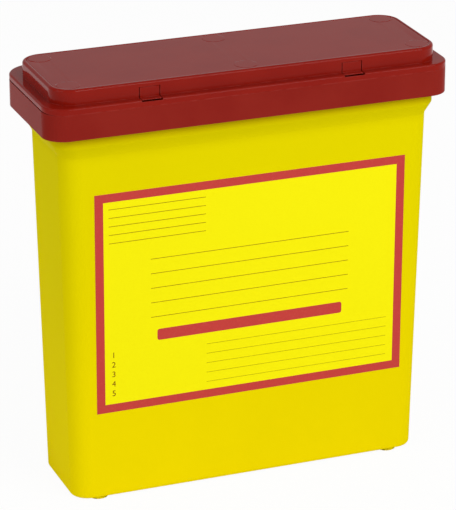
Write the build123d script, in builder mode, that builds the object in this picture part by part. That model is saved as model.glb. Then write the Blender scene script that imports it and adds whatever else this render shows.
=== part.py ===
from build123d import *
from math import acos, atan, cos, radians, sin, tan
import os

# Sharps container: a flat tapered tub, a press-on lid collar with a deck, and a cover hinged along the
# back of the collar and held shut by two latch tongues at the front. All sizes are in millimetres.
# X runs along the long side, the front faces -Y and Z is up. The pieces are drawn about the middle of
# the tub and moved together at the end, so that the origin lies on the standing surface under the
# middle of the whole container, hinges included.

# ---- Tub: driving sizes
foot_height = 1.0            # round feet under the corners
foot_diameter = 9.0
foot_inset_end = 12.4        # from the end of the base to a foot's middle
foot_inset_side = 5.5
wall = 1.5                   # moulded wall of the tub
base_length = 167.4          # outline of the tub at its base
base_width = 47.6
tub_corner = 8.5             # upright corners, from base to rim
base_edge = 1.6              # rounding between base and walls
side_height = 164.65         # tapered sides, base to shoulder
shoulder_length = 174.0      # outline where the sides meet the shoulder
shoulder_width = 51.5
shoulder_height = 5.3        # flared shoulder
flare_end = 2.6              # how far the shoulder flares at the short ends
flare_side = 1.8             # and along the long sides
shoulder_blend = 2.5         # hollow curve, sides to shoulder
neck_blend = 1.5             # round curve, shoulder to neck
neck_height = 15.35          # upright neck, shoulder to rim
rim_flange_end = 3.6         # rim flange that the lid snaps over
rim_flange_side = 1.7        # at the front; at the back it follows the deeper lid
rim_flange_height = 1.6
arch_length = 118.0          # shallow raised panel under the base, between the feet
arch_width = 24.0
arch_corner = 6.0
arch_depth = 0.4

# ---- Lid collar: driving sizes
skirt_thickness = 1.5
skirt_clearance = 0.3        # skirt to rim flange
skirt_depth = 10.25          # below the underside of the deck
lid_corner = 10.0            # front corners
lid_back_corner = 13.5       # the rounder back corners
lid_back_reach = 5.0         # the lid is this much deeper at the back, where it carries the hinges
deck_thickness = 1.5
snap_bead_reach = 1.0        # beads inside the skirt that catch under the rim flange
snap_bead_height = 1.5
snap_bead_side = 34.0        # length of each bead on the long sides
snap_bead_end = 16.0
snap_bead_pitch = 58.0
plug_clearance = 0.3         # plug lip inside the tub's mouth
plug_thickness = 1.2
plug_depth = 6.0
drop_length = 112.0          # drop opening for the sharps
drop_width = 36.0
drop_corner = 8.0
drop_offset = -17.0          # middle of the drop opening along X
drop_lip_height = 1.2        # upstand round the drop opening
drop_lip_thickness = 1.2
strip_hole_diameter = 11.0   # keyhole that strips a needle from its holder
strip_slot_width = 4.2
strip_slot_length = 20.0
strip_offset = 62.0          # middle of the keyhole along X
strip_tooth = 0.9
strip_tooth_pitch = 2.4
strip_rim_width = 3.0
strip_rim_height = 0.8

# ---- Cover: driving sizes
seam_gap = 0.2               # cover rim to collar
cover_wall = 1.3
rim_height = 2.75            # rim strip, seam to ledge
ledge_width = 3.95           # ledge in front of the raised panel
ledge_end_width = 4.6        # and at its ends
ledge_back_width = 8.2       # and behind it
ledge_edge = 0.9             # rounding of the ledge's outer edge
raised_corner = 10.0
raised_height = 7.0          # ledge to top
raised_edge = 1.2            # rounding round the top
top_rim_width = 1.7          # narrow rim round the top panel, from the wall
top_recess = 0.25            # the panel lies this much below the rim
pad_diameter = 10.3          # round pads that stand on the panel in two rows of three
pad_height = 0.15
pad_inset_end = 8.4          # from the raised wall to a pad's middle
pad_inset_side = 7.4
seal_thickness = 1.2         # sealing ring under the cover
seal_clearance = 0.4         # seal to the upstand of the drop opening
seal_height_gap = 0.4        # seal to deck

# ---- Latches: driving sizes
latch_spacing = 95.0         # between the middles of the two latches
latch_width = 9.0
latch_gap = 0.4              # slits beside each tongue
latch_root_drop = 2.35       # tongue's root line below the top
latch_root_gap = 0.16        # the root line itself
latch_skin = 0.45            # rim strip left standing in front of the tab
latch_tab_edge = 0.35        # rounding of the thumb tab's outer edge
latch_release_angle = 8.0    # how far the tongue swings out to let go
latch_tab_play = 0.12        # left between the tab's end and that skin when it has swung out
latch_hook_reach = 0.8       # hook behind the tongue
latch_hook_lead = 0.5
keeper_width = 7.0           # upright keeper on the deck that the hook catches
keeper_thickness = 1.8
keeper_tip_thickness = 1.35
keeper_clearance = 0.4       # hook tip to keeper
keeper_barb_play = 0.3       # barb above the hook, and barb tip to the tongue
keeper_barb_height = 1.9
keeper_gusset_thickness = 1.2
keeper_gusset_depth = 2.2

# ---- Hinge: driving sizes
hinge_spacing = 110.0        # between the middles of the two hinges
hinge_pin_diameter = 2.6
hinge_running_gap = 0.05     # radial, pin in its socket
hinge_lug_wall = 1.3         # round the socket
hinge_lug_thickness = 3.0
hinge_arm_width = 11.0
hinge_arm_wall = 0.9         # of the arm round the pin
hinge_side_gap = 0.4         # arm to lug
hinge_back_gap = 0.4         # lugs to the back of the cover
hinge_mouth = 2.1            # snap-in mouth of the socket, narrower than the pin
hinge_open_angle = 115.0     # the arms' heels meet the collar's back here
hinge_heel_overreach = 0.45  # heel past the arm's reach to the collar's back
hinge_stop_gap = 0.1

# ---- Label, an A6 sheet
label_length = 148.0
label_height = 105.0
label_thickness = 0.2
label_middle_height = 95.35
label_offset = 0.85          # along X

# ---- Drawing aids
rooting = 0.2                # beads and lugs start this far inside the wall that carries them
overrun = 0.5                # cuts run this far past the faces that they open
near = 0.01                  # reach of the selectors that pick edges by place

# ---- Worked out from the sizes above
base_z = foot_height
shoulder_z = base_z + side_height
neck_z = shoulder_z + shoulder_height
rim_z = neck_z + neck_height
deck_z = rim_z + deck_thickness
skirt_z = rim_z - skirt_depth
cover_z = deck_z + seam_gap
ledge_z = cover_z + rim_height
top_z = ledge_z + raised_height
panel_z = top_z - top_recess
ceiling_z = panel_z - cover_wall

neck_length = shoulder_length + 2 * flare_end
neck_width = shoulder_width + 2 * flare_side
rim_length = neck_length + 2 * rim_flange_end
rim_width = neck_width + 2 * rim_flange_side
lid_length = rim_length + 2 * (skirt_clearance + skirt_thickness)
lid_width = rim_width + 2 * (skirt_clearance + skirt_thickness)
raised_length = lid_length - 2 * ledge_end_width
raised_width = lid_width + lid_back_reach - ledge_width - ledge_back_width

front_y = -lid_width / 2
back_y = lid_width / 2 + lid_back_reach
raised_front_y = front_y + ledge_width
raised_middle_y = raised_front_y + raised_width / 2
latch_x = (-latch_spacing / 2, latch_spacing / 2)
latch_root_z = top_z - latch_root_drop
latch_lever = latch_root_z - (ledge_z - cover_wall)
latch_tab_y = front_y + latch_skin + latch_lever * sin(radians(latch_release_angle)) + latch_tab_play
latch_inner_y = raised_front_y + cover_wall
keeper_y = latch_inner_y + latch_hook_reach + keeper_clearance
keeper_barb_z = ledge_z + keeper_barb_play

hinge_socket_radius = hinge_pin_diameter / 2 + hinge_running_gap
hinge_lug_radius = hinge_socket_radius + hinge_lug_wall
hinge_y = back_y + hinge_back_gap + hinge_lug_radius
hinge_z = deck_z + seam_gap / 2
hinge_x = (-hinge_spacing / 2, hinge_spacing / 2)
hinge_reach = hinge_y - back_y
middle_y = (front_y + hinge_y + hinge_lug_radius) / 2


def lid_plan(inset):
    """The lid's outline seen from above, moved in by inset."""
    with BuildSketch() as plan:
        with Locations((0, (front_y + back_y) / 2)):
            Rectangle(lid_length - 2 * inset, back_y - front_y - 2 * inset)
        fillet(plan.vertices().group_by(Axis.Y)[0], lid_corner - inset)
        fillet(plan.vertices().group_by(Axis.Y)[-1], lid_back_corner - inset)
    return plan.sketch


def tub_form(inset, floor_z, rounding):
    """Tapered box, flared shoulder and neck, each wall moved in by inset, from floor_z to the rim."""
    rise = (floor_z - base_z) / side_height
    with BuildPart() as form:
        for plane, base, shoulder, mode in (
            (Plane.XZ, base_length, shoulder_length, Mode.ADD),
            (Plane.YZ, base_width, shoulder_width, Mode.INTERSECT),
        ):
            floor_x = (base + (shoulder - base) * rise) / 2 - inset
            shoulder_x = shoulder / 2 - inset
            with BuildSketch(plane):
                with BuildLine():
                    Polyline(
                        (floor_x, floor_z),
                        (shoulder_x, shoulder_z),
                        (-shoulder_x, shoulder_z),
                        (-floor_x, floor_z),
                        close=True,
                    )
                make_face()
            extrude(amount=lid_length, both=True, mode=mode)
        upright = form.edges().filter_by(lambda edge: edge.bounding_box().size.Z > side_height / 2)
        fillet(upright, tub_corner - inset)
        fillet(form.edges().group_by(Axis.Z)[0], rounding)
        with BuildSketch(Plane.XY.offset(neck_z)) as neck:
            RectangleRounded(neck_length - 2 * inset, neck_width - 2 * inset, tub_corner - inset)
        loft(sections=[form.faces().sort_by(Axis.Z)[-1], neck.sketch.face()])
        extrude(neck.sketch, amount=neck_height)
    return form.part


tub_outside = tub_form(0, base_z, base_edge)
tub_inside = tub_form(wall, base_z + wall, base_edge)

with BuildPart() as container_body:
    add(tub_outside)
    # Hollow curve from the sides to the shoulder, round curve from the shoulder to the neck.
    for bend_z, bend_radius in ((shoulder_z, shoulder_blend), (neck_z, neck_blend)):
        bend = container_body.edges().filter_by_position(Axis.Z, bend_z - near, bend_z + near)
        fillet(bend, bend_radius)
    # Rim flange, chamfered on top so that the lid's beads ride over it.
    with BuildSketch(Plane.XY.offset(rim_z - rim_flange_height)):
        add(lid_plan(skirt_thickness + skirt_clearance))
    extrude(amount=rim_flange_height)
    rim_edges = container_body.edges().filter_by_position(Axis.Z, rim_z - near, rim_z + near)
    chamfer(rim_edges, rim_flange_height / 2)
    add(tub_inside, mode=Mode.SUBTRACT)
    # Feet, and the shallow panel between them.
    with BuildSketch(Plane.XY):
        with GridLocations(base_length - 2 * foot_inset_end, base_width - 2 * foot_inset_side, 2, 2):
            Circle(foot_diameter / 2)
    extrude(amount=foot_height + wall / 2)
    with BuildSketch(Plane.XY.offset(base_z)):
        RectangleRounded(arch_length, arch_width, arch_corner)
    extrude(amount=arch_depth, mode=Mode.SUBTRACT)
container_body.part.label = "container_body"


def bead(length, along):
    """One snap bead on a level sketch plane's run: a wedge that catches under the rim flange."""
    top = rim_z - rim_flange_height
    half = length / 2
    if along == "side":
        plane = Plane(origin=(-half, front_y + skirt_thickness, top), x_dir=(0, 1, 0), z_dir=(1, 0, 0))
    else:
        end_x = -lid_length / 2 + skirt_thickness
        plane = Plane(origin=(end_x, half, top), x_dir=(1, 0, 0), z_dir=(0, -1, 0))
    with BuildPart() as wedge:
        with BuildSketch(plane):
            with BuildLine():
                Polyline(
                    (-rooting, 0),
                    (snap_bead_reach, 0),
                    (0, -snap_bead_height),
                    (-rooting, -snap_bead_height),
                    close=True,
                )
            make_face()
        extrude(amount=length)
    return wedge.part


side_bead = bead(snap_bead_side, "side")
end_bead = bead(snap_bead_end, "end")

with BuildPart() as lid_collar:
    with BuildSketch(Plane.XY.offset(skirt_z)):
        add(lid_plan(0))
    extrude(amount=deck_z - skirt_z)
    with BuildSketch(Plane.XY.offset(skirt_z)):
        add(lid_plan(skirt_thickness))
    extrude(amount=rim_z - skirt_z, mode=Mode.SUBTRACT)
    # Plug lip that closes the tub's mouth from inside.
    mouth_length = neck_length - 2 * (wall + plug_clearance)
    mouth_width = neck_width - 2 * (wall + plug_clearance)
    mouth_corner = tub_corner - wall - plug_clearance
    with BuildSketch(Plane.XY.offset(rim_z - plug_depth)):
        RectangleRounded(mouth_length, mouth_width, mouth_corner)
        RectangleRounded(
            mouth_length - 2 * plug_thickness,
            mouth_width - 2 * plug_thickness,
            mouth_corner - plug_thickness,
            mode=Mode.SUBTRACT,
        )
    extrude(amount=plug_depth)
    # Drop opening with its upstand.
    with BuildSketch(Plane.XY.offset(deck_z)):
        with Locations((drop_offset, 0)):
            RectangleRounded(
                drop_length + 2 * drop_lip_thickness,
                drop_width + 2 * drop_lip_thickness,
                drop_corner + drop_lip_thickness,
            )
    extrude(amount=drop_lip_height)
    with BuildSketch(Plane.XY.offset(rim_z)):
        with Locations((drop_offset, 0)):
            RectangleRounded(drop_length, drop_width, drop_corner)
    extrude(amount=deck_thickness + drop_lip_height, mode=Mode.SUBTRACT)
    # Keyhole that strips needles: a raised rim, a round hole and a toothed slot.
    with BuildSketch(Plane.XY.offset(deck_z)):
        with Locations((strip_offset, 0)):
            SlotOverall(
                strip_slot_length + 2 * strip_rim_width,
                strip_hole_diameter + 2 * strip_rim_width,
                rotation=90,
            )
    extrude(amount=strip_rim_height)
    hole_y = -(strip_slot_length - strip_hole_diameter) / 2
    teeth = int((strip_slot_length - strip_hole_diameter) / strip_tooth_pitch)
    with BuildSketch(Plane.XY.offset(rim_z)):
        with Locations((strip_offset, hole_y)):
            Circle(strip_hole_diameter / 2)
        with Locations((strip_offset, 0)):
            SlotOverall(strip_slot_length, strip_slot_width, rotation=90)
        for index in range(teeth):
            tooth_y = strip_slot_length / 2 - strip_slot_width / 2 - index * strip_tooth_pitch
            with Locations((strip_offset, tooth_y)):
                Rectangle(strip_slot_width + 2 * strip_tooth, strip_tooth_pitch / 2)
    extrude(amount=deck_thickness + strip_rim_height, mode=Mode.SUBTRACT)
    # Keepers that the latch hooks catch, each with a gusset behind it.
    for x in latch_x:
        with BuildSketch(Plane.YZ.offset(x - keeper_width / 2)):
            with BuildLine():
                Polyline(
                    (keeper_y, deck_z - deck_thickness / 2),
                    (keeper_y, keeper_barb_z),
                    (latch_inner_y + keeper_barb_play, keeper_barb_z),
                    (keeper_y + keeper_thickness - keeper_tip_thickness, keeper_barb_z + keeper_barb_height),
                    (keeper_y + keeper_thickness, keeper_barb_z + keeper_barb_height),
                    (keeper_y + keeper_thickness, deck_z - deck_thickness / 2),
                    close=True,
                )
            make_face()
        extrude(amount=keeper_width)
        with BuildSketch(Plane.YZ.offset(x - keeper_gusset_thickness / 2)):
            with BuildLine():
                Polyline(
                    (keeper_y + keeper_thickness / 2, keeper_barb_z),
                    (keeper_y + keeper_thickness, keeper_barb_z),
                    (keeper_y + keeper_thickness + keeper_gusset_depth, deck_z),
                    (keeper_y + keeper_thickness + keeper_gusset_depth, deck_z - deck_thickness / 2),
                    (keeper_y + keeper_thickness / 2, deck_z - deck_thickness / 2),
                    close=True,
                )
            make_face()
        extrude(amount=keeper_gusset_thickness)
    # Hinge lugs on the back, each with a snap-in socket that opens backwards.
    lug_x = [
        middle + side * (hinge_arm_width / 2 + hinge_side_gap + hinge_lug_thickness / 2)
        for middle in hinge_x
        for side in (-1, 1)
    ]
    for x in lug_x:
        with BuildSketch(Plane.YZ.offset(x - hinge_lug_thickness / 2)):
            with Locations((hinge_y, hinge_z)):
                Circle(hinge_lug_radius)
            with BuildLine():
                Polyline(
                    (back_y - skirt_thickness / 2, deck_z - rooting),
                    (hinge_y, deck_z - rooting),
                    (hinge_y, hinge_z - hinge_lug_radius),
                    (back_y - skirt_thickness / 2, hinge_z - hinge_lug_radius - (hinge_y - back_y)),
                    close=True,
                )
            make_face()
            with Locations((hinge_y, hinge_z)):
                Circle(hinge_socket_radius, mode=Mode.SUBTRACT)
                with Locations((hinge_lug_radius, 0)):
                    Rectangle(2 * hinge_lug_radius, hinge_mouth, mode=Mode.SUBTRACT)
        extrude(amount=hinge_lug_thickness)
    # Snap beads, three on each long side and one on each end.
    for x in (-snap_bead_pitch, 0, snap_bead_pitch):
        add(Pos(x, 0, 0) * side_bead)
        add(Pos(x, lid_back_reach, 0) * side_bead.rotate(Axis.Z, 180))
    add(end_bead)
    add(end_bead.rotate(Axis.Z, 180))
lid_collar.part.label = "lid_collar"


with BuildPart() as hinged_cover:
    with BuildSketch(Plane.XY.offset(cover_z)):
        add(lid_plan(0))
    extrude(amount=rim_height)
    fillet(hinged_cover.edges().group_by(Axis.Z)[-1], ledge_edge)
    with BuildSketch(Plane.XY.offset(ledge_z)):
        with Locations((0, raised_middle_y)):
            RectangleRounded(raised_length, raised_width, raised_corner)
    extrude(amount=raised_height)
    fillet(hinged_cover.edges().group_by(Axis.Z)[-1], raised_edge)
    # Panel sunk inside its narrow rim, with its pads.
    with BuildSketch(Plane.XY.offset(panel_z)):
        with Locations((0, raised_middle_y)):
            RectangleRounded(
                raised_length - 2 * top_rim_width,
                raised_width - 2 * top_rim_width,
                raised_corner - top_rim_width,
            )
    extrude(amount=top_recess, mode=Mode.SUBTRACT)
    with BuildSketch(Plane.XY.offset(panel_z)):
        with Locations((0, raised_middle_y)):
            with GridLocations(raised_length / 2 - pad_inset_end, raised_width - 2 * pad_inset_side, 3, 2):
                Circle(pad_diameter / 2)
    extrude(amount=pad_height)
    # Hollow from below: the rim strip first, then the raised box.
    with BuildSketch(Plane.XY.offset(cover_z)):
        add(lid_plan(cover_wall))
    extrude(amount=rim_height - cover_wall, mode=Mode.SUBTRACT)
    with BuildSketch(Plane.XY.offset(cover_z)):
        with Locations((0, raised_middle_y)):
            RectangleRounded(
                raised_length - 2 * cover_wall,
                raised_width - 2 * cover_wall,
                raised_corner - cover_wall,
            )
    extrude(amount=ceiling_z - cover_z, mode=Mode.SUBTRACT)
    # Sealing ring round the drop opening's upstand.
    seal_z = deck_z + seal_height_gap
    seal_inside = drop_lip_thickness + seal_clearance
    with BuildSketch(Plane.XY.offset(seal_z)):
        with Locations((drop_offset, 0)):
            RectangleRounded(
                drop_length + 2 * (seal_inside + seal_thickness),
                drop_width + 2 * (seal_inside + seal_thickness),
                drop_corner + seal_inside + seal_thickness,
            )
            RectangleRounded(
                drop_length + 2 * seal_inside,
                drop_width + 2 * seal_inside,
                drop_corner + seal_inside,
                mode=Mode.SUBTRACT,
            )
    extrude(amount=ceiling_z - seal_z)
    # A second ring round the keyhole's rim.
    keyhole_length = strip_slot_length + 2 * (strip_rim_width + seal_clearance)
    keyhole_width = strip_hole_diameter + 2 * (strip_rim_width + seal_clearance)
    with BuildSketch(Plane.XY.offset(seal_z)):
        with Locations((strip_offset, 0)):
            SlotOverall(keyhole_length + 2 * seal_thickness, keyhole_width + 2 * seal_thickness, rotation=90)
            SlotOverall(keyhole_length, keyhole_width, rotation=90, mode=Mode.SUBTRACT)
    extrude(amount=ceiling_z - seal_z)
    # Room for the latch tongues: slits beside them, the root line, and the slot in front of each tab.
    for x in latch_x:
        with BuildSketch(Plane.YZ.offset(x - latch_width / 2 - latch_gap)):
            with BuildLine():
                Polyline(
                    (front_y + latch_skin, cover_z - seam_gap),
                    (front_y + latch_skin, ledge_z + overrun),
                    (raised_front_y - overrun, ledge_z + overrun),
                    (raised_front_y - overrun, latch_root_z + latch_root_gap / 2),
                    (latch_inner_y + latch_gap, latch_root_z + latch_root_gap / 2),
                    (latch_inner_y + latch_gap, cover_z - seam_gap),
                    close=True,
                )
            make_face()
        extrude(amount=latch_width + 2 * latch_gap, mode=Mode.SUBTRACT)
    # Hinge arms with their pins. Each arm has a heel that meets the collar's back when it is fully open.
    heel_reach = hinge_reach + hinge_heel_overreach
    heel_contact = hinge_reach - hinge_stop_gap
    heel_tip_angle = radians(180 - hinge_open_angle) - acos(heel_contact / heel_reach)
    heel_flat_angle = radians(180 - hinge_open_angle)
    for x in hinge_x:
        with BuildSketch(Plane.YZ.offset(x - hinge_arm_width / 2)):
            with Locations((hinge_y, hinge_z)):
                Circle(hinge_pin_diameter / 2 + hinge_arm_wall)
            with BuildLine():
                Polyline(
                    (back_y - cover_wall / 2, cover_z),
                    (hinge_y, cover_z),
                    (hinge_y, hinge_z + hinge_pin_diameter / 2 + hinge_arm_wall),
                    (back_y, ledge_z - ledge_edge),
                    (back_y - cover_wall / 2, ledge_z - ledge_edge),
                    close=True,
                )
            make_face()
            with BuildLine():
                Polyline(
                    (hinge_y, hinge_z),
                    (
                        hinge_y + heel_reach * cos(heel_tip_angle),
                        hinge_z - heel_reach * sin(heel_tip_angle),
                    ),
                    (
                        hinge_y + heel_contact * cos(heel_flat_angle),
                        hinge_z - heel_contact * sin(heel_flat_angle),
                    ),
                    close=True,
                )
            make_face()
        extrude(amount=hinge_arm_width)
        pin_length = hinge_arm_width + 2 * (hinge_side_gap + hinge_lug_thickness)
        with BuildSketch(Plane.YZ.offset(x - pin_length / 2)):
            with Locations((hinge_y, hinge_z)):
                Circle(hinge_pin_diameter / 2)
        extrude(amount=pin_length)
hinged_cover.part.label = "hinged_cover"


def latch_tongue(x):
    """Tongue cut free in the cover's front wall: an L with a thumb tab outside and a hook inside."""
    hook_y = latch_inner_y + latch_hook_reach
    tab_z = ledge_z - cover_wall
    tongue_z = latch_root_z - latch_root_gap / 2
    with BuildPart() as tongue:
        with BuildSketch(Plane.YZ.offset(x - latch_width / 2)):
            with BuildLine():
                Polyline(
                    (raised_front_y, tongue_z),
                    (raised_front_y, ledge_z),
                    (latch_tab_y, ledge_z),
                    (latch_tab_y, tab_z),
                    (hook_y - latch_hook_lead, tab_z),
                    (hook_y, tab_z + latch_hook_lead),
                    (hook_y, ledge_z),
                    (latch_inner_y, ledge_z),
                    (latch_inner_y, tongue_z),
                    close=True,
                )
            make_face()
        extrude(amount=latch_width)
        brow = tongue.edges().filter_by(Axis.X)
        brow = brow.filter_by_position(Axis.Y, latch_tab_y - near, latch_tab_y + near)
        fillet(brow.filter_by_position(Axis.Z, ledge_z - near, ledge_z + near), latch_tab_edge)
    return tongue


latch_left = latch_tongue(latch_x[0])
latch_left.part.label = "latch_left"
latch_right = latch_tongue(latch_x[1])
latch_right.part.label = "latch_right"


# The label lies on the tub's leaning front face.
lean = atan((shoulder_width - base_width) / 2 / side_height)
label_y = -base_width / 2 - (label_middle_height - base_z) * tan(lean)
label_plane = Plane(
    origin=(label_offset, label_y, label_middle_height),
    x_dir=(1, 0, 0),
    z_dir=(0, -cos(lean), -sin(lean)),
)
with BuildPart() as front_label:
    with BuildSketch(label_plane):
        Rectangle(label_length, label_height)
    extrude(amount=label_thickness)
front_label.part.label = "front_label"

# Everything moves forward, until the middle of the whole lies over the origin.
centred = Pos(0, -middle_y, 0)
os.makedirs("parts", exist_ok=True)
export_step(container_body.part.moved(centred), "parts/container_body.step")
export_step(lid_collar.part.moved(centred), "parts/lid_collar.step")
export_step(hinged_cover.part.moved(centred), "parts/hinged_cover.step")
export_step(latch_left.part.moved(centred), "parts/latch_left.step")
export_step(latch_right.part.moved(centred), "parts/latch_right.step")
export_step(front_label.part.moved(centred), "parts/front_label.step")
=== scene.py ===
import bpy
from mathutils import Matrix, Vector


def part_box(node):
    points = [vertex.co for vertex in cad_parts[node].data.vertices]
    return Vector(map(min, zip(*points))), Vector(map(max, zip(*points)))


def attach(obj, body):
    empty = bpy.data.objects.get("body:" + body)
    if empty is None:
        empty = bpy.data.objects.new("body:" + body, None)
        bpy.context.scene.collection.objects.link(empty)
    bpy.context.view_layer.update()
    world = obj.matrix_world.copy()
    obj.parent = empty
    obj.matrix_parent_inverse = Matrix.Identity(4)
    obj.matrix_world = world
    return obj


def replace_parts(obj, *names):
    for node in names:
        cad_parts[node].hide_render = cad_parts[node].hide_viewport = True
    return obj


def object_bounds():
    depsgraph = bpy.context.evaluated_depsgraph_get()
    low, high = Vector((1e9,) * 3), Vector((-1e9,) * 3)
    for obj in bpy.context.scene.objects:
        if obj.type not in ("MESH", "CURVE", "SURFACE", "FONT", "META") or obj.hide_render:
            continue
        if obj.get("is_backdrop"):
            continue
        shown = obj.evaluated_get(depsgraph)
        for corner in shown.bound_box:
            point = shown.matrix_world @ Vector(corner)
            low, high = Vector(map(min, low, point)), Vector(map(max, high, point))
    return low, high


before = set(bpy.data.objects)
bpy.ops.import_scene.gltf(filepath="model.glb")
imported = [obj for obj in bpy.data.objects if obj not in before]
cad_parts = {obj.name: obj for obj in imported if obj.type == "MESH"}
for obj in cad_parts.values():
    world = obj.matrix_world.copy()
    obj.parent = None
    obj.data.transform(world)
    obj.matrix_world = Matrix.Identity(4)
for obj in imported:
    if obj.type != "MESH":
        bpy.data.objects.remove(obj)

"""Studio scene of a sharps container: a yellow tub, a dark red lid with a hinged cover, and a form label.

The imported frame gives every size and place. Each sub-assembly is a class that builds its pieces and gives
them their finish, and each finish is a frozen dataclass that makes one node material. Lengths are in metres.
"""

import logging
import math
from collections.abc import Callable, Sequence
from dataclasses import dataclass
from enum import Enum

import bmesh
import bpy
import numpy as np
from mathutils import Matrix, Vector

log = logging.getLogger("sharps_container")

MM = 0.001
MERGE = 0.0005 * MM
NEAR = 0.01 * MM
LATCHES = ("latch_left", "latch_right")
Colour = tuple[float, float, float, float]


class Tint(Enum):
    """Colours of the container's plastics, inks and surroundings, as 8-bit display values."""

    TUB_LOW = (244, 222, 0)
    # Painted shade: the tub's colour at the top, painted darker than at the bottom.
    TUB_TOP_PAINTED_SHADE = (231, 216, 0)
    # Painted shade: the darker band round the neck, under the collar's overhang.
    TUB_NECK_PAINTED_SHADE = (214, 200, 0)
    # Painted shadow: the brownish band under the collar, with painted red bounce light from the lid.
    TUB_COLLAR_PAINTED_SHADOW = (196, 170, 2)
    TUB_SHADE = (228, 208, 0)
    TUB_SCUFF = (246, 230, 60)
    LID = (144, 25, 12)
    LID_DEEP = (135, 18, 8)
    COLLAR = (143, 38, 30)
    COLLAR_DEEP = (134, 30, 24)
    # Edge wear and painted highlight: the pale pink painted along the lid's rounded edges.
    LID_EDGE_WEAR_AND_HIGHLIGHT = (168, 62, 56)
    SHEET = (252, 243, 12)
    SHEET_FIBRE = (248, 237, 9)
    BORDER = (199, 66, 62)
    BORDER_WORN = (206, 84, 74)
    TYPE = (128, 74, 12)
    RULE = (178, 164, 4)
    WHITE = (255, 255, 255)

    def linear(self) -> Colour:
        """The colour in linear light, with an alpha of 1."""
        values = []
        for channel in self.value:
            level = channel / 255
            values.append(level / 12.92 if level <= 0.04045 else ((level + 0.055) / 1.055) ** 2.4)
        return (*values, 1.0)


class Socket:
    """An output of a shader graph that can be used in Python expressions."""

    def __init__(self, graph: "Graph", link: bpy.types.NodeSocket) -> None:
        """Wraps an output.

        Args:
            graph: The graph that the output belongs to.
            link: The output itself.
        """
        self.graph = graph
        self.link = link

    def _maths(self, operation: str, *values: "Socket | float") -> "Socket":
        """Adds a Math node for an operation on some values."""
        return self.graph.node("ShaderNodeMath", {"operation": operation}, dict(enumerate(values)))

    def __add__(self, other: "Socket | float") -> "Socket":
        """Sum."""
        return self._maths("ADD", self, other)

    def __mul__(self, other: "Socket | float") -> "Socket":
        """Product."""
        return self._maths("MULTIPLY", self, other)

    __radd__ = __add__
    __rmul__ = __mul__

    def at_least(self, other: "Socket | float") -> "Socket":
        """The larger of this and another value."""
        return self._maths("MAXIMUM", self, other)

    def ramp(self, start: float, end: float) -> "Socket":
        """A smooth step from 0 at start to 1 at end, or the other way round if end is lower."""
        sockets = {"Value": self, "From Min": min(start, end), "From Max": max(start, end)}
        sockets |= {"To Min": float(start > end), "To Max": float(start <= end)}
        return self.graph.node("ShaderNodeMapRange", {"interpolation_type": "SMOOTHSTEP"}, sockets)


class Graph:
    """The node tree of one material or of the world."""

    def __init__(self, tree: bpy.types.NodeTree) -> None:
        """Takes over a node tree and empties it.

        Args:
            tree: The tree to build in.
        """
        self.tree = tree
        tree.nodes.clear()

    def node(
        self,
        kind: str,
        settings: dict[str, object] | None = None,
        sockets: dict[str | int, object] | None = None,
        output: str | int = 0,
    ) -> Socket:
        """Adds one node.

        Args:
            kind: The node's type.
            settings: Properties of the node, set before its sockets.
            sockets: Values or links of its inputs, by name or number.
            output: Which output to give back.

        Returns:
            The chosen output, or a wrapper without a link for a node with no output.
        """
        node = self.tree.nodes.new(kind)
        for name, value in (settings or {}).items():
            setattr(node, name, value)
        for name, value in (sockets or {}).items():
            if isinstance(value, Socket):
                self.tree.links.new(value.link, node.inputs[name])
            else:
                node.inputs[name].default_value = value
        return Socket(self, node.outputs[output] if len(node.outputs) else None)

    def place(self) -> Socket:
        """Where a point lies on its piece, in metres."""
        return self.node("ShaderNodeTexCoord", output="Object")

    def axes(self) -> tuple[Socket, Socket, Socket]:
        """The three coordinates of a point, one by one."""
        split = self.node("ShaderNodeSeparateXYZ", sockets={0: self.place()})
        outputs = split.link.node.outputs
        return tuple(Socket(self, outputs[name]) for name in "XYZ")

    def noise(self, size: float, detail: float = 2.0, stretch: Sequence[float] = (1, 1, 1)) -> Socket:
        """Soft random variation.

        Args:
            size: How large its blotches are, in metres.
            detail: How many finer layers it has.
            stretch: How much it is squeezed along each axis.

        Returns:
            Values around 0.5.
        """
        mapped = self.node("ShaderNodeMapping", sockets={"Vector": self.place(), "Scale": tuple(stretch)})
        return self.node("ShaderNodeTexNoise", sockets={"Vector": mapped, "Scale": 1 / size, "Detail": detail})

    def blend(self, factor: Socket | float, first: object, second: object) -> Socket:
        """A colour between two, by a factor from 0 to 1."""
        settings = {"data_type": "RGBA", "clamp_factor": True}
        return self.node("ShaderNodeMix", settings, {0: factor, 6: first, 7: second}, output=2)

    def bump(self, height: Socket, depth: float, normal: Socket | None = None) -> Socket:
        """Relief of a height map whose full depth is given in metres."""
        sockets = {"Height": height, "Distance": depth, "Strength": 1.0}
        if normal is not None:
            sockets["Normal"] = normal
        return self.node("ShaderNodeBump", sockets=sockets)

    def shader(self, **sockets: object) -> Socket:
        """A Principled shader with the given inputs, whose underscores stand for spaces."""
        named = {name.replace("_", " "): value for name, value in sockets.items()}
        return self.node("ShaderNodeBsdfPrincipled", sockets=named)

    def surface(self, shader: Socket) -> None:
        """Makes a shader the material's surface."""
        self.node("ShaderNodeOutputMaterial", sockets={"Surface": shader})


def new_material(name: str) -> tuple[bpy.types.Material, Graph]:
    """Makes an empty node material.

    Args:
        name: The material's name.

    Returns:
        The material and its graph.
    """
    material = bpy.data.materials.new(name)
    material.use_nodes = True
    return material, Graph(material.node_tree)


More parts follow.
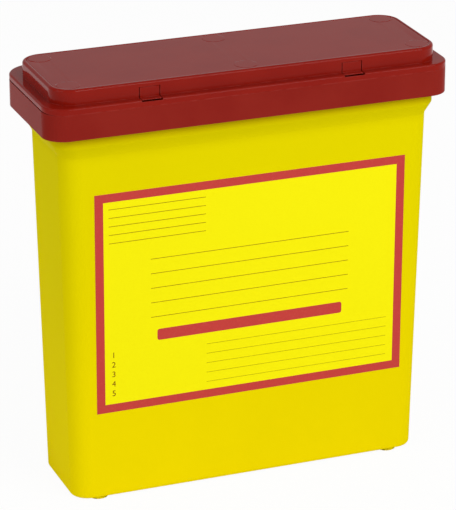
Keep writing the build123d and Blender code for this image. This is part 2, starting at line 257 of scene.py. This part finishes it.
@dataclass(frozen=True)
class TubPlastic:
    """Satin yellow polypropylene, spark-grained, with painted shade darker towards the top and round the neck, and
    a painted shadow just under the collar.
    """

    roughness: float = 0.42
    specular: float = 0.002
    grain: float = 0.35 * MM
    grain_depth: float = 0.012 * MM
    sink: float = 34 * MM
    sink_depth: float = 0.10 * MM
    cloud: float = 55 * MM
    scratch: float = 2.2 * MM
    scuff_height: float = 7 * MM
    shoulder: float = 161 * MM
    neck: float = 170.5 * MM
    collar: float = 175.5 * MM

    def material(self) -> bpy.types.Material:
        """Builds the tub's material."""
        material, graph = new_material("tub_plastic")
        _, _, z = graph.axes()
        cloud = graph.noise(self.cloud, 3, (1, 1, 0.45)).ramp(0.35, 0.7)
        # Painted shade: the tub is painted darker from the floor up to the shoulder.
        colour = graph.blend(z.ramp(0, self.shoulder), Tint.TUB_LOW.linear(), Tint.TUB_TOP_PAINTED_SHADE.linear())
        # Painted shade: the neck is painted darker, as if shaded by the collar above it.
        colour = graph.blend(z.ramp(self.shoulder, self.neck), colour, Tint.TUB_NECK_PAINTED_SHADE.linear())
        # Painted shadow: a brownish band just under the collar, its shadow and red bounce light painted in.
        colour = graph.blend(z.ramp(self.neck, self.collar), colour, Tint.TUB_COLLAR_PAINTED_SHADOW.linear())
        colour = graph.blend(cloud * 0.25, colour, Tint.TUB_SHADE.linear())
        scratches = graph.noise(self.scratch, 4, (0.35, 0.35, 3)).ramp(0.62, 0.74)
        scuffed = scratches * z.ramp(self.scuff_height, 0)
        colour = graph.blend(scuffed * 0.5, colour, Tint.TUB_SCUFF.linear())
        fine = graph.noise(self.grain, 2)
        relief = graph.bump(fine, self.grain_depth)
        relief = graph.bump(graph.noise(self.sink, 1), self.sink_depth, relief)
        roughness = fine.ramp(0.3, 0.7) * 0.08 + scuffed * 0.1 + self.roughness
        graph.surface(graph.shader(
            Base_Color=colour, Roughness=roughness, Specular_IOR_Level=self.specular, Normal=relief,
        ))
        return material


@dataclass(frozen=True)
class LidPlastic:
    """Glossy dark red polypropylene with soft waves in its skin, and edges painted paler pink: partly handling
    wear, partly painted highlight.
    """

    name: str = "lid_plastic"
    tint: Tint = Tint.LID
    deep: Tint = Tint.LID_DEEP
    roughness: float = 0.05
    specular: float = 0.09
    cloud: float = 28 * MM
    hair: float = 1.1 * MM
    wave: float = 16 * MM
    wave_depth: float = 0.02 * MM
    skin: float = 0.6 * MM
    skin_depth: float = 0.004 * MM
    edge: float = 0.6 * MM
    wear: float = 3.5 * MM

    def material(self) -> bpy.types.Material:
        """Builds the lid's material."""
        material, graph = new_material(self.name)
        cloud = graph.noise(self.cloud, 3).ramp(0.38, 0.66)
        colour = graph.blend(cloud * 0.5, self.tint.linear(), self.deep.linear())
        edge_wear_and_highlight = self.worn_and_highlit_edges(graph)
        # Edge wear and painted highlight: the rounded edges are painted paler pink.
        colour = graph.blend(edge_wear_and_highlight * 0.55, colour, Tint.LID_EDGE_WEAR_AND_HIGHLIGHT.linear())
        hairs = graph.noise(self.hair, 5, (0.12, 1.6, 1)).ramp(0.6, 0.72)
        relief = graph.bump(graph.noise(self.wave, 1), self.wave_depth)
        relief = graph.bump(graph.noise(self.skin, 2), self.skin_depth, relief)
        roughness = hairs * 0.07 + cloud * 0.04 + edge_wear_and_highlight * 0.1 + self.roughness
        graph.surface(graph.shader(
            Base_Color=colour, Roughness=roughness, Specular_IOR_Level=self.specular, Normal=relief,
        ))
        return material

    def worn_and_highlit_edges(self, graph: Graph) -> Socket:
        """How near a point is to an outer edge, broken up by handling wear; the edges it finds carry both wear and
        a painted highlight.

        Args:
            graph: The graph to build in.

        Returns:
            1 on a worn edge with painted highlight and 0 on a plain face.
        """
        rounded = graph.node("ShaderNodeBevel", {"samples": 6}, {"Radius": self.edge})
        plain = graph.node("ShaderNodeNewGeometry", output="Normal")
        turned = graph.node(
            "ShaderNodeVectorMath", {"operation": "DOT_PRODUCT"}, {0: rounded, 1: plain}, output="Value"
        )
        return turned.ramp(0.995, 0.86) * graph.noise(self.wear, 3).ramp(0.36, 0.6)


@dataclass(frozen=True)
class LabelSheet:
    """Bright yellow coated sheet with a faint fibre."""

    roughness: float = 0.5
    specular: float = 0.02
    fibre: float = 1.4 * MM
    fibre_depth: float = 0.006 * MM

    def material(self) -> bpy.types.Material:
        """Builds the sheet's material."""
        material, graph = new_material("label_sheet")
        fibre = graph.noise(self.fibre, 4, (1, 1, 2.2))
        colour = graph.blend(fibre.ramp(0.4, 0.75) * 0.35, Tint.SHEET.linear(), Tint.SHEET_FIBRE.linear())
        relief = graph.bump(fibre, self.fibre_depth)
        roughness = fibre.ramp(0.3, 0.7) * 0.06 + self.roughness
        graph.surface(graph.shader(
            Base_Color=colour, Roughness=roughness, Specular_IOR_Level=self.specular, Normal=relief,
        ))
        return material


@dataclass(frozen=True)
class PrintInk:
    """Printing ink with slightly uneven cover."""

    name: str
    full: Tint
    thin: Tint
    roughness: float = 0.45
    specular: float = 0.05
    patchiness: float = 0.9 * MM

    def material(self) -> bpy.types.Material:
        """Builds the ink's material."""
        material, graph = new_material(self.name)
        cover = graph.noise(self.patchiness, 4).ramp(0.5, 0.8)
        colour = graph.blend(cover * 0.5, self.full.linear(), self.thin.linear())
        graph.surface(graph.shader(
            Base_Color=colour, Roughness=cover * 0.08 + self.roughness, Specular_IOR_Level=self.specular,
        ))
        return material


@dataclass(frozen=True)
class WhiteBoard:
    """White floor that looks white itself and still takes a soft shadow."""

    shadow_share: float = 0.05

    def material(self) -> bpy.types.Material:
        """Builds the floor's material."""
        material, graph = new_material("white_board")
        matt = graph.node("ShaderNodeBsdfDiffuse", sockets={"Color": Tint.WHITE.linear()})
        glow = graph.node("ShaderNodeEmission", sockets={"Color": Tint.WHITE.linear(), "Strength": 1.0})
        seen = seen_directly(graph) * (1 - self.shadow_share)
        graph.surface(graph.node("ShaderNodeMixShader", sockets={0: seen, 1: matt, 2: glow}))
        return material


def seen_directly(graph: Graph) -> Socket:
    """1 where a ray comes from the camera, a reflection or a transparent piece, and 0 for light that spreads."""
    outputs = graph.node("ShaderNodeLightPath").link.node.outputs
    rays = [Socket(graph, outputs[name]) for name in ("Is Camera Ray", "Is Glossy Ray", "Is Transmission Ray")]
    return rays[0].at_least(rays[1]).at_least(rays[2])


def mesh_object(name: str, points: np.ndarray, faces: Sequence[Sequence[int]]) -> bpy.types.Object:
    """Makes a mesh object whose place is in its mesh.

    Args:
        name: The piece's name.
        points: Its vertices, in metres.
        faces: Its faces as vertex numbers, turning anticlockwise when seen from outside.

    Returns:
        The new object, linked to the scene.
    """
    mesh = bpy.data.meshes.new(name)
    mesh.from_pydata(points.reshape(-1, 3).tolist(), [], faces)
    mesh.validate()
    piece = bpy.data.objects.new(name, mesh)
    bpy.context.scene.collection.objects.link(piece)
    return piece


def prism(name: str, profile: np.ndarray, start: float, end: float) -> bpy.types.Object:
    """A section in the YZ plane carried straight along X: each of its points at x = start and at x = end.

    Args:
        name: The piece's name.
        profile: The section's corners as rows of (y, z), anticlockwise when seen from +X.
        start: The lower end along X.
        end: The higher end along X.

    Returns:
        The closed piece.
    """
    count = len(profile)
    ends = [np.column_stack((np.full(count, x), profile)) for x in (start, end)]
    faces = [list(range(count))[::-1], list(range(count, 2 * count))]
    faces += [[i, (i + 1) % count, count + (i + 1) % count, count + i] for i in range(count)]
    return mesh_object(name, np.concatenate(ends), faces)


def carve(piece: bpy.types.Object, cutter: bpy.types.Object) -> None:
    """Cuts one piece out of another and throws the cutter away.

    Args:
        piece: The piece that is cut.
        cutter: The piece that is cut away from it.
    """
    cut = piece.modifiers.new("cut", "BOOLEAN")
    cut.object = cutter
    cut.operation = "DIFFERENCE"
    cut.solver = "EXACT"
    shown = piece.evaluated_get(bpy.context.evaluated_depsgraph_get())
    carved = bpy.data.meshes.new_from_object(shown)
    piece.modifiers.remove(cut)
    piece.data = carved
    bpy.data.objects.remove(cutter)


def smoothed_copy(
    node: str, name: str, reshape: Callable[[bpy.types.Object], None] | None = None
) -> bpy.types.Object:
    """Copies a CAD node's mesh, merges its loose triangles and shades its curves smoothly.

    Args:
        node: The CAD node.
        name: The new piece's name.
        reshape: What is changed on the copy before it is shaded.

    Returns:
        The copy, which replaces the node.
    """
    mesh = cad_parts[node].data.copy()
    work = bmesh.new()
    work.from_mesh(mesh)
    bmesh.ops.remove_doubles(work, verts=work.verts, dist=MERGE)
    work.to_mesh(mesh)
    work.free()
    mesh.materials.clear()
    piece = bpy.data.objects.new(name, mesh)
    bpy.context.scene.collection.objects.link(piece)
    if reshape is not None:
        reshape(piece)
    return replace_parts(shade(piece), node)


def shade(piece: bpy.types.Object, angle: float = 24.0) -> bpy.types.Object:
    """Shades a piece's curves smoothly and keeps its flat walls flat.

    Faces that meet at less than the angle are shaded as one surface, and each vertex leans towards its
    largest faces.

    Args:
        piece: The piece.
        angle: The largest angle between faces of one surface, in degrees.

    Returns:
        The same piece.
    """
    mesh = piece.data
    mesh.name = piece.name
    mesh.polygons.foreach_set("use_smooth", np.ones(len(mesh.polygons), bool))
    mesh.set_sharp_from_angle(angle=math.radians(angle))
    weights = piece.modifiers.new("flat_faces_first", "WEIGHTED_NORMAL")
    weights.mode = "FACE_AREA"
    weights.weight = 100
    weights.keep_sharp = True
    return piece


def dress(piece: bpy.types.Object, material: bpy.types.Material, body: str) -> None:
    """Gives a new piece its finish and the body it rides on.

    Args:
        piece: The piece.
        material: Its finish.
        body: The CAD body that carries it.
    """
    piece.data.materials.clear()
    piece.data.materials.append(material)
    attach(piece, body)
    log.info("%s: %d faces, rides on %s", piece.name, len(piece.data.polygons), body)


@dataclass
class Tub:
    """The yellow tub."""

    body: str = "base"

    def build(self) -> None:
        """Dresses the tub."""
        dress(smoothed_copy("container_body", "tub"), TubPlastic().material(), self.body)


@dataclass
class Cover:
    """The hinged cover, closed down on the collar at the front only, with a fine groove round its panel.

    The deck and seam are the heights between the tub's rim and the cover's lower edge. The front settles by
    its depth and the left side lifts, each falling to nothing over its corner. The panel lies a recess below
    the top, its pads stand on it, and both rise by a lift. The slit, slot depth and reach cut the rim in
    front of the latches: how far past the tongue, how deep below the ledge, and how far in from the front.
    """

    deck: float = 1.5 * MM
    seam: float = 0.2 * MM
    settled: float = 0.17 * MM
    front_corner: float = 10.0 * MM
    lifted: float = 0.45 * MM
    left_corner: float = 5.0 * MM
    recess: float = 0.25 * MM
    pad: float = 0.15 * MM
    groove: float = 0.35 * MM
    lift: float = 0.15 * MM
    low_pad: float = 0.07 * MM
    slit: float = 0.4 * MM
    slot_depth: float = 0.8 * MM
    reach: float = 0.6 * MM

    def __post_init__(self) -> None:
        """Reads the cover's heights and front from the frame."""
        low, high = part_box("hinged_cover")
        self.front = low.y
        self.left = low.x
        self.rim_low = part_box("container_body")[1].z + self.deck + self.seam
        self.panel = high.z - self.recess

    def settle(self, work: bmesh.types.BMesh) -> None:
        """Lowers the front rim and lifts the left one, each share falling to nothing round the corner."""
        for vertex in work.verts:
            if abs(vertex.co.z - self.rim_low) < NEAR:
                front = (self.front + self.front_corner - vertex.co.y) / self.front_corner
                left = (self.left + self.left_corner - vertex.co.x) / self.left_corner
                front, left = min(max(front, 0.0), 1.0), min(max(left, 0.0), 1.0)
                vertex.co.z += self.lifted * left * (1 - front) - self.settled * front

    def raise_panel(self, work: bmesh.types.BMesh) -> None:
        """Insets the panel by the groove's width and lifts it, and its low pads, nearly level with the rim."""
        region = []
        for face in work.faces:
            heights = [vertex.co.z - self.panel for vertex in face.verts]
            level = face.normal.z > 0.99 or abs(face.normal.z) < 0.01
            if level and min(heights) > -NEAR and max(heights) < self.pad + NEAR:
                region.append(face)
        bmesh.ops.inset_region(work, faces=region, thickness=self.groove, use_even_offset=True)
        for vertex in {vertex for face in region for vertex in face.verts}:
            on_pad = vertex.co.z > self.panel + NEAR
            vertex.co.z = self.panel + self.lift + (self.low_pad if on_pad else 0.0)

    def open_slots(self, piece: bpy.types.Object) -> None:
        """Lowers the thin strip of rim in front of both latch tabs."""
        for side in LATCHES:
            low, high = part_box(side)
            top = low.z + LatchTongue.wall
            start, end = self.front - self.slit, self.front + self.reach
            section = [(start, top - self.slot_depth), (end, top - self.slot_depth), (end, top + self.slit)]
            section.append((start, top + self.slit))
            carve(piece, prism("slot_cutter", np.array(section), low.x - self.slit, high.x + self.slit))

    def reshape(self, piece: bpy.types.Object) -> None:
        """Makes all the cover's changes on its copy."""
        work = bmesh.new()
        work.from_mesh(piece.data)
        self.settle(work)
        self.raise_panel(work)
        work.to_mesh(piece.data)
        work.free()
        self.open_slots(piece)

    def build(self, plastic: bpy.types.Material) -> None:
        """Dresses the cover."""
        dress(smoothed_copy("hinged_cover", "cover", self.reshape), plastic, "cover")


@dataclass
class LatchTongue:
    """A latch tongue whose thumb tab ends in a thin rounded lip, a little behind the front of the rim."""

    side: str
    soft_edge: float = 0.12 * MM
    wall: float = 1.3 * MM
    hook: float = 0.8 * MM
    hook_lead: float = 0.5 * MM
    setback: float = 1.2 * MM
    lip: float = 0.45 * MM
    lip_round: float = 0.38 * MM
    lip_reach: float = 1.3 * MM

    def profile(self) -> np.ndarray:
        """The section: tongue, tab, lip with a quarter round of (cos t, sin t), and hook."""
        low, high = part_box(self.side)
        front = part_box("hinged_cover")[0].y + self.setback
        inner = high.y - self.hook
        face = inner - self.wall
        ledge = low.z + self.wall
        centre = (front + self.lip_round, ledge - self.lip_round)
        turn = np.radians(np.linspace(90, 180, 8))
        arc = np.column_stack((
            centre[0] + self.lip_round * np.cos(turn), centre[1] + self.lip_round * np.sin(turn),
        ))
        return np.array([
            (inner, high.z),
            (face, high.z),
            (face, ledge),
            *arc,
            (front, ledge - self.lip),
            (front + self.lip_reach, ledge - self.lip),
            (front + self.lip_reach + self.wall - self.lip, low.z),
            (high.y - self.hook_lead, low.z),
            (high.y, low.z + self.hook_lead),
            (high.y, ledge),
            (inner, ledge),
        ])

    def build(self, plastic: bpy.types.Material) -> None:
        """Makes and dresses the tongue."""
        low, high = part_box(self.side)
        piece = prism(f"{self.side}_tongue", self.profile(), low.x, high.x)
        bevel = piece.modifiers.new("soft_edges", "BEVEL")
        bevel.width = self.soft_edge
        bevel.segments = 2
        bevel.limit_method = "ANGLE"
        bevel.angle_limit = math.radians(30)
        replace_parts(shade(piece), self.side)
        dress(piece, plastic, self.side)


@dataclass
class Lid:
    """The lid collar, the hinged cover and its two latch tongues, of one red plastic, satin on the collar."""

    def build(self) -> None:
        """Dresses the lid's pieces: the collar satin, the rest glossy."""
        red = LidPlastic().material()
        satin = LidPlastic("collar_plastic", Tint.COLLAR, Tint.COLLAR_DEEP, 0.14, 0.015).material()
        dress(smoothed_copy("lid_collar", "collar"), satin, "base")
        Cover().build(red)
        for side in LATCHES:
            LatchTongue(side).build(red)


@dataclass
class FrontLabel:
    """The form label: its sheet, red border, blank band, ruled lines and row numbers.

    Places on the sheet are (across, up) from its lower left corner.
    """

    sheet_thickness: float = 0.2 * MM
    ink_height: float = 0.03 * MM
    border: float = 4.0 * MM
    border_inset: float = 0.02 * MM
    band_low: tuple[float, float] = (28.9 * MM, 32.0 * MM)
    band_high: tuple[float, float] = (118.1 * MM, 37.4 * MM)
    band_corner: float = 1.1 * MM
    rule_ends: tuple[float, float] = (52.4 * MM, 140.5 * MM)
    first_rule: float = 26.5 * MM
    rule_pitch: float = 4.65 * MM
    rule_width: float = 0.22 * MM
    rules: int = 5
    header_lines: tuple[float, ...] = (97.5 * MM, 93.5 * MM, 89.5 * MM, 85.5 * MM, 81.5 * MM)
    header_ends: tuple[float, float] = (6.5 * MM, 52.0 * MM)
    title_lines: tuple[float, ...] = (71.5 * MM, 64.5 * MM, 57.5 * MM, 50.5 * MM, 43.5 * MM)
    title_ends: tuple[float, float] = (26.0 * MM, 121.0 * MM)
    number_across: float = 7.2 * MM
    number_size: float = 3.915 * MM

    def __post_init__(self) -> None:
        """Reads the sheet's size and lean from the frame."""
        low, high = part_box("front_label")
        self.length = high.x - low.x
        self.lean = math.atan((high.y - low.y - self.sheet_thickness) / (high.z - low.z))
        self.height = (high.z - low.z) / math.cos(self.lean)
        foot_y = high.y - self.sheet_thickness
        self.corner = Vector((low.x, foot_y, low.z))
        self.up = Vector((0, -math.sin(self.lean), math.cos(self.lean)))
        self.out = Vector((0, -math.cos(self.lean), -math.sin(self.lean)))

    def on_sheet(self, across: np.ndarray, up: np.ndarray, out: np.ndarray | float) -> np.ndarray:
        """Carries places on the sheet into the frame: corner + across * X + up * slope + out * normal."""
        across, up, out = np.broadcast_arrays(across, up, out)
        right = np.array((1.0, 0.0, 0.0))
        return (
            np.array(self.corner)
            + across[..., None] * right
            + up[..., None] * np.array(self.up)
            + out[..., None] * np.array(self.out)
        )

    def patch(self, name: str, outline: np.ndarray) -> bpy.types.Object:
        """A flat film of ink with the given outline: the outline carried from the sheet to the ink's height.

        Args:
            name: The piece's name.
            outline: Its corners on the sheet, anticlockwise, as rows of (across, up).

        Returns:
            The closed piece.
        """
        count = len(outline)
        across, up = outline[:, 0], outline[:, 1]
        lower = self.on_sheet(across, up, 0.0)
        upper = self.on_sheet(across, up, self.ink_height)
        faces = [list(range(count, 2 * count)), list(range(count))[::-1]]
        faces += [[i, (i + 1) % count, count + (i + 1) % count, count + i] for i in range(count)]
        return mesh_object(name, np.concatenate((lower, upper)), faces)

    def frame_border(self) -> bpy.types.Object:
        """The border: a flat section carried round the sheet's edge, in four mitred runs."""
        inset = self.border_inset
        outer = self.rectangle(inset, inset, self.length - inset, self.height - inset)
        inner = self.rectangle(self.border, self.border, self.length - self.border, self.height - self.border)
        rings = [(outer, 0.0), (outer, self.ink_height), (inner, self.ink_height), (inner, 0.0)]
        points = np.concatenate([self.on_sheet(ring[:, 0], ring[:, 1], out) for ring, out in rings])
        faces = []
        for ring in range(4):
            following = (ring + 1) % 4
            for side in range(4):
                turn = (side + 1) % 4
                faces.append([ring * 4 + side, ring * 4 + turn, following * 4 + turn, following * 4 + side])
        return mesh_object("label_border", points, faces)

    @staticmethod
    def rectangle(left: float, low: float, right: float, high: float) -> np.ndarray:
        """The corners of a rectangle, anticlockwise from the lower left."""
        return np.array([(left, low), (right, low), (right, high), (left, high)])

    @staticmethod
    def rounded(low: Sequence[float], high: Sequence[float], radius: float, steps: int = 8) -> np.ndarray:
        """A rounded rectangle: each corner's centre plus radius times (cos t, sin t) over a quarter turn."""
        centres = [
            (high[0] - radius, low[1] + radius, -90),
            (high[0] - radius, high[1] - radius, 0),
            (low[0] + radius, high[1] - radius, 90),
            (low[0] + radius, low[1] + radius, 180),
        ]
        turn = np.linspace(0, 90, steps)
        arcs = []
        for x, y, start in centres:
            angle = np.radians(start + turn)
            arcs.append(np.column_stack((x + radius * np.cos(angle), y + radius * np.sin(angle))))
        return np.concatenate(arcs)

    def rule(self, name: str, middle: float, ends: tuple[float, float]) -> bpy.types.Object:
        """One ruled line of the form, at a height on the sheet."""
        half = self.rule_width / 2
        return self.patch(name, self.rectangle(ends[0], middle - half, ends[1], middle + half))

    def number(self, index: int) -> bpy.types.Object:
        """The row's number at the left of its line, as a thin mesh."""
        curve = bpy.data.curves.new(f"label_number_{index + 1}", "FONT")
        curve.body = str(index + 1)
        curve.size = self.number_size
        curve.extrude = self.ink_height / 2
        curve.resolution_u = 6
        text = bpy.data.objects.new(curve.name, curve)
        mesh = bpy.data.meshes.new_from_object(text)
        bpy.data.objects.remove(text)
        low = self.first_rule - index * self.rule_pitch
        start = self.on_sheet(np.array(self.number_across), np.array(low), self.ink_height / 2)
        turn = Matrix((Vector((1, 0, 0)), self.up, self.out)).transposed().to_4x4()
        mesh.transform(Matrix.Translation(Vector(start)) @ turn)
        mesh.name = curve.name
        piece = bpy.data.objects.new(curve.name, mesh)
        bpy.context.scene.collection.objects.link(piece)
        return piece

    def build(self) -> None:
        """Dresses the sheet and lays the print on it."""
        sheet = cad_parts["front_label"]
        sheet.data.materials.clear()
        sheet.data.materials.append(LabelSheet().material())
        log.info("%s: the sheet itself, dressed in place", sheet.name)
        red = PrintInk("border_ink", Tint.BORDER, Tint.BORDER_WORN).material()
        brown = PrintInk("type_ink", Tint.TYPE, Tint.RULE).material()
        olive = PrintInk("rule_ink", Tint.RULE, Tint.SHEET_FIBRE).material()
        dress(self.frame_border(), red, "base")
        band = self.patch("label_band", self.rounded(self.band_low, self.band_high, self.band_corner))
        dress(band, red, "base")
        for index in range(self.rules):
            middle = self.first_rule - index * self.rule_pitch
            dress(self.rule(f"label_rule_{index + 1}", middle, self.rule_ends), olive, "base")
            dress(self.number(index), brown, "base")
        blocks = (("header", self.header_lines, self.header_ends), ("title", self.title_lines, self.title_ends))
        for block, lines, ends in blocks:
            for index, middle in enumerate(lines):
                dress(self.rule(f"label_{block}_line_{index + 1}", middle, ends), brown, "base")


@dataclass
class Studio:
    """Floor, lights, world and camera."""

    floor_radius: float = 6.0
    floor_drop: float = 0.02 * MM
    camera_place: tuple[float, float, float] = (-0.46948, -1.22224, 0.61615)
    camera_turn: float = 21.181
    camera_dip: float = 21.509
    lens: float = 217.14
    shift: tuple[float, float] = (-0.01168, -0.00736)
    ambient: float = 0.46
    horizon: float = 0.66
    softbox_size: float = 0.9
    key_place: tuple[float, float, float] = (0.5, -1.15, 0.95)
    key_power: float = 9.9
    side_place: tuple[float, float, float] = (-1.3, -0.4, 0.6)
    side_power: float = 3.4

    def floor(self) -> None:
        """Lays the floor: rings of a flat disc, radius times (cos t, sin t), at the container's feet."""
        turns, rings = 72, 10
        angle = np.linspace(0, 2 * math.pi, turns, endpoint=False)
        radius = self.floor_radius * (np.arange(1, rings + 1) / rings) ** 2
        x = radius[:, None] * np.cos(angle)
        y = radius[:, None] * np.sin(angle)
        points = np.stack((x, y, np.full_like(x, -self.floor_drop)), axis=-1)
        faces = [list(range(turns))]
        for ring in range(rings - 1):
            for step in range(turns):
                nxt = (step + 1) % turns
                start, end = ring * turns, (ring + 1) * turns
                faces.append([start + step, end + step, end + nxt, start + nxt])
        board = mesh_object("floor", points, faces)
        board.data.materials.append(WhiteBoard().material())
        board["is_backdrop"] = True
        log.info("floor: %d faces", len(board.data.polygons))

    def world(self) -> None:
        """Surrounds the scene with white that spreads less light than it shows."""
        world = bpy.data.worlds.new("white_room")
        world.use_nodes = True
        bpy.context.scene.world = world
        graph = Graph(world.node_tree)
        level = seen_directly(graph) * (self.horizon - self.ambient) + self.ambient
        sky = graph.node("ShaderNodeBackground", sockets={"Color": Tint.WHITE.linear(), "Strength": level})
        graph.node("ShaderNodeOutputWorld", sockets={"Surface": sky})

    def softbox(self, name: str, place: Sequence[float], aim: Vector, power: float) -> None:
        """Hangs one square soft light.

        Args:
            name: Its name.
            place: Where it hangs.
            aim: The point that it faces.
            power: Its power in watts.
        """
        light = bpy.data.lights.new(name, "AREA")
        light.shape = "SQUARE"
        light.size = self.softbox_size
        light.energy = power
        lamp = bpy.data.objects.new(name, light)
        lamp.location = place
        lamp.rotation_euler = (aim - Vector(place)).to_track_quat("-Z", "Y").to_euler()
        bpy.context.scene.collection.objects.link(lamp)

    def camera(self) -> None:
        """Stands the camera at the front left, turned to the right and dipped."""
        data = bpy.data.cameras.new("camera")
        data.lens = self.lens
        data.sensor_width = 36
        data.shift_x, data.shift_y = self.shift
        camera = bpy.data.objects.new("camera", data)
        camera.location = self.camera_place
        camera.rotation_euler = (math.radians(90 - self.camera_dip), 0, -math.radians(self.camera_turn))
        bpy.context.scene.collection.objects.link(camera)
        bpy.context.scene.camera = camera

    def build(self) -> None:
        """Sets up the whole studio round the container."""
        low, high = (Vector(corner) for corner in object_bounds())
        middle = Vector((0, 0, (low.z + high.z) / 2))
        self.floor()
        self.world()
        self.softbox("key", self.key_place, middle, self.key_power)
        self.softbox("side", self.side_place, middle, self.side_power)
        self.camera()
        bpy.context.scene.view_settings.view_transform = "Standard"


def main() -> None:
    """Builds the container and its studio, and notes both sizes."""
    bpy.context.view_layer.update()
    Studio().build()
    for assembly in (Tub(), Lid(), FrontLabel()):
        assembly.build()


if __name__ == "__main__":
    logging.basicConfig(level=logging.INFO, format="%(name)s %(message)s")
    main()
